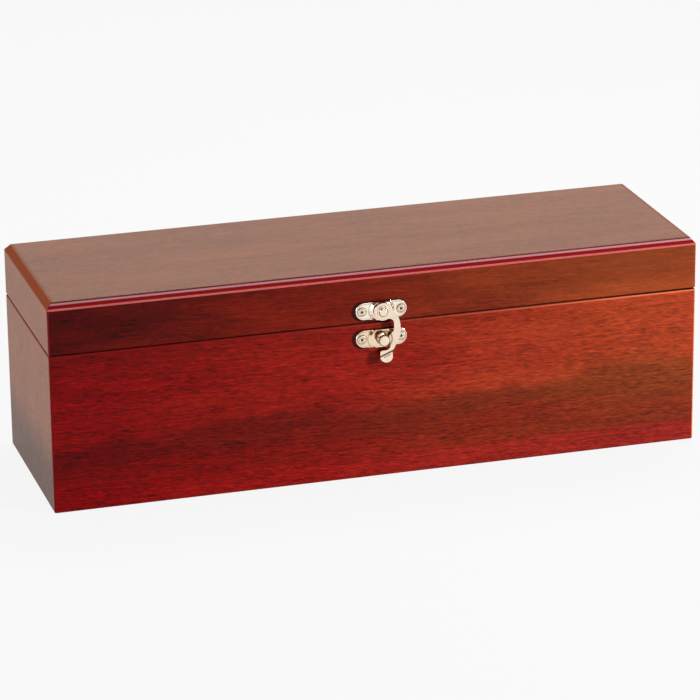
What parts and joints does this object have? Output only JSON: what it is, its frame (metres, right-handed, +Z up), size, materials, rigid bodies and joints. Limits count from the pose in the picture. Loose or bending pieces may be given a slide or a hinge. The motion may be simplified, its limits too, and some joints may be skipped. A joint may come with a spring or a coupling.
{
  "type": "hinged wooden presentation box",
  "caption": "Long hardwood presentation box with a bevelled hinged lid, mitred boards, velvet lining, bottle rests, stop hinges and a brass swing-hook catch.",
  "frame": {"origin": "centre of the underside of the box", "axes": "+X along the box to the right seen from the front, +Y from the front to the back, +Z up"},
  "size_m": [0.355, 0.1215, 0.115],
  "materials": {
    "lacquered_hardwood": "red-brown hardwood veneer with fine streaks along the box, under satin lacquer",
    "panel_wood": "stained plywood under thin lacquer",
    "catch_brass": "polished pale gilt brass, stamped",
    "catch_screws": "polished pale gilt brass, cross recess",
    "hinge_brass": "polished pale gilt brass",
    "lining_velvet": "short-pile dark velvet on card",
    "pad_velvet": "short-pile dark velvet over thin foam",
    "rest_velvet": "short-pile dark velvet over a shaped block"
  },
  "bodies": {
    "base": {"base_back_board": "lacquered_hardwood", "base_back_lining": "lining_velvet", "base_bottom_panel": "panel_wood", "base_floor_lining": "lining_velvet", "base_front_board": "lacquered_hardwood", "base_front_lining": "lining_velvet", "base_left_board": "lacquered_hardwood", "base_left_lining": "lining_velvet", "base_right_board": "lacquered_hardwood", "base_right_lining": "lining_velvet", "body_rest": "rest_velvet", "catch_plate": "catch_brass", "catch_plate_screws": "catch_screws", "catch_stud": "catch_brass", "hinge_base_screws": "hinge_brass", "hinge_left_lower_leaf": "hinge_brass", "hinge_left_pin": "hinge_brass", "hinge_right_lower_leaf": "hinge_brass", "hinge_right_pin": "hinge_brass", "neck_rest": "rest_velvet"},
    "lid": {"hinge_left_upper_leaf": "hinge_brass", "hinge_lid_screws": "hinge_brass", "hinge_right_upper_leaf": "hinge_brass", "hook_plate": "catch_brass", "hook_plate_screws": "catch_screws", "hook_rivet": "catch_brass", "lid_back_lining": "lining_velvet", "lid_back_rail": "lacquered_hardwood", "lid_front_lining": "lining_velvet", "lid_front_rail": "lacquered_hardwood", "lid_left_lining": "lining_velvet", "lid_left_rail": "lacquered_hardwood", "lid_right_lining": "lining_velvet", "lid_right_rail": "lacquered_hardwood", "lid_top_pad": "pad_velvet", "lid_top_panel": "lacquered_hardwood"},
    "hook": {"hook": "catch_brass"}
  },
  "joints": [
    {"name": "lid_hinge", "type": "hinge", "parent": "base", "child": "lid", "pos_m": [0, 0.0569, 0.0865], "axis": [-1, 0, 0], "range_deg": [0, 100]},
    {"name": "hook_swing", "type": "hinge", "parent": "lid", "child": "hook", "pos_m": [0.0007, -0.0587, 0.0933], "axis": [0, -1, 0], "range_deg": [0, 300]}
  ]
}
